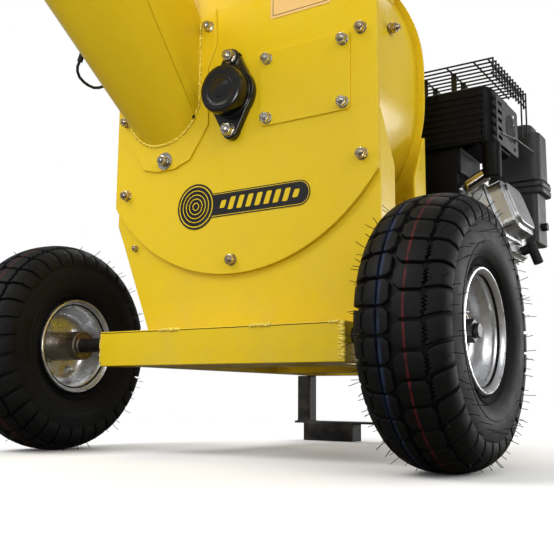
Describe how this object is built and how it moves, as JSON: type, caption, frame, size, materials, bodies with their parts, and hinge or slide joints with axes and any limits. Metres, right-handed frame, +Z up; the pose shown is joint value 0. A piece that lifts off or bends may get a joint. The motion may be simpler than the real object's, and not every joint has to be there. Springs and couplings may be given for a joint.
{
  "type": "wood chipper",
  "caption": "Wheeled petrol wood chipper: disc chamber, slanted feed hopper, turning discharge chute with deflector, belt drive, engine, two tyres and a rear stand.",
  "frame": {"origin": "centre of the machine's box on the ground, midway between the wheels", "axes": "+X to the engine's cylinder side, -Y to the feed hopper, +Z up"},
  "size_m": [0.89, 1.113, 1.266],
  "materials": {
    "yellow_paint": "glossy powder coat",
    "black_paint": "satin black paint",
    "gloss_black": "gloss black enamel",
    "zinc_plated": "bright zinc plating",
    "bare_steel": "ground steel",
    "tyre_rubber": "matt moulded rubber",
    "rubber": "matt rubber",
    "cast_alloy": "cast, slightly rough",
    "black_plastic": "fine-grained moulded plastic",
    "red_plastic": "moulded plastic",
    "label_film": "printed film",
    "exhaust_chrome": "plated tube"
  },
  "bodies": {
    "machine": {"base_frame": "yellow_paint", "axle_beam": "yellow_paint", "axle": "bare_steel", "wheel_nuts": "black_paint", "front_upright": "yellow_paint", "rear_upright": "yellow_paint", "rear_stand": "black_paint", "housing_shell": "yellow_paint", "front_plate": "yellow_paint", "rear_plate": "yellow_paint", "inspection_cover": "yellow_paint", "cover_bolts": "zinc_plated", "housing_bolts": "zinc_plated", "front_bearing_housing": "gloss_black", "bearing_cap": "gloss_black", "rear_bearing_housing": "gloss_black", "mounting_bolts": "zinc_plated", "anvil": "bare_steel", "chute_flange": "yellow_paint", "feed_chute": "yellow_paint", "hopper_mouth": "yellow_paint", "chute_bolts": "zinc_plated", "discharge_neck": "yellow_paint", "labels": "label_film", "belt_guard": "black_paint", "v_belts": "rubber", "crankcase": "black_paint", "cylinder": "cast_alloy", "valve_cover": "cast_alloy", "muffler": "black_paint", "heat_shield": "black_paint", "muffler_guard": "black_paint", "exhaust_pipe": "exhaust_chrome", "carburettor": "cast_alloy", "air_cleaner_base": "black_plastic", "air_cleaner_cover": "black_plastic", "air_cleaner_knob": "black_plastic", "fuel_tank": "black_paint", "fan_cover": "black_paint", "recoil_cover": "black_paint", "spark_plug_boot": "rubber", "switch_cable": "rubber"},
    "left_wheel": {"left_tyre": "tyre_rubber", "left_rim": "zinc_plated", "left_hub": "bare_steel"},
    "right_wheel": {"right_tyre": "tyre_rubber", "right_rim": "zinc_plated", "right_hub": "bare_steel"},
    "rotor": {"rotor_shaft": "bare_steel", "flywheel": "bare_steel", "knives": "bare_steel", "rotor_pulley": "bare_steel"},
    "crank": {"crankshaft": "bare_steel", "engine_pulley": "bare_steel"},
    "discharge": {"discharge_chute": "yellow_paint"},
    "deflector": {"deflector": "yellow_paint"},
    "throttle": {"throttle_lever": "black_plastic"},
    "starter": {"starter_grip": "black_plastic"},
    "stop_switch": {"engine_switch": "red_plastic"},
    "tank_cap": {"fuel_cap": "black_plastic"}
  },
  "joints": [
    {"name": "left_wheel_spin", "type": "hinge", "parent": "machine", "child": "left_wheel", "pos_m": [-0.38, -0.0805, 0.1875], "axis": [1, 0, 0], "continuous": true},
    {"name": "right_wheel_spin", "type": "hinge", "parent": "machine", "child": "right_wheel", "pos_m": [0.38, -0.0805, 0.1875], "axis": [1, 0, 0], "continuous": true},
    {"name": "rotor_spin", "type": "hinge", "parent": "machine", "child": "rotor", "pos_m": [0, 0.0495, 0.606], "axis": [0, 1, 0], "continuous": true},
    {"name": "crank_spin", "type": "hinge", "parent": "machine", "child": "crank", "pos_m": [0.125, 0.3195, 0.346], "axis": [0, 1, 0], "continuous": true},
    {"name": "discharge_turn", "type": "hinge", "parent": "machine", "child": "discharge", "pos_m": [0.15, 0.0395, 0.96], "axis": [0, 0, 1], "range_deg": [-180, 180]},
    {"name": "deflector_tilt", "type": "hinge", "parent": "discharge", "child": "deflector", "pos_m": [0.1, 0.0395, 1.17], "axis": [0, -1, 0], "range_deg": [0, 45]},
    {"name": "throttle_swing", "type": "hinge", "parent": "machine", "child": "throttle", "pos_m": [0.199, 0.5115, 0.434], "axis": [0, 1, 0], "range_deg": [-25, 25]},
    {"name": "starter_pull", "type": "slide", "parent": "machine", "child": "starter", "axis": [-1, 0, 0], "range_m": [0, 0.5], "stiffness_N_per_m": 20},
    {"name": "switch_rock", "type": "hinge", "parent": "machine", "child": "stop_switch", "pos_m": [0.007, 0.5145, 0.438], "axis": [1, 0, 0], "range_deg": [-10, 10]},
    {"name": "cap_turn", "type": "hinge", "parent": "machine", "child": "tank_cap", "pos_m": [0.035, 0.3475, 0.665], "axis": [0, 0, 1], "range_deg": [0, 90]}
  ],
  "couplings": [
    {"joint": "crank_spin", "follows": "rotor_spin", "ratio": 1.5}
  ]
}
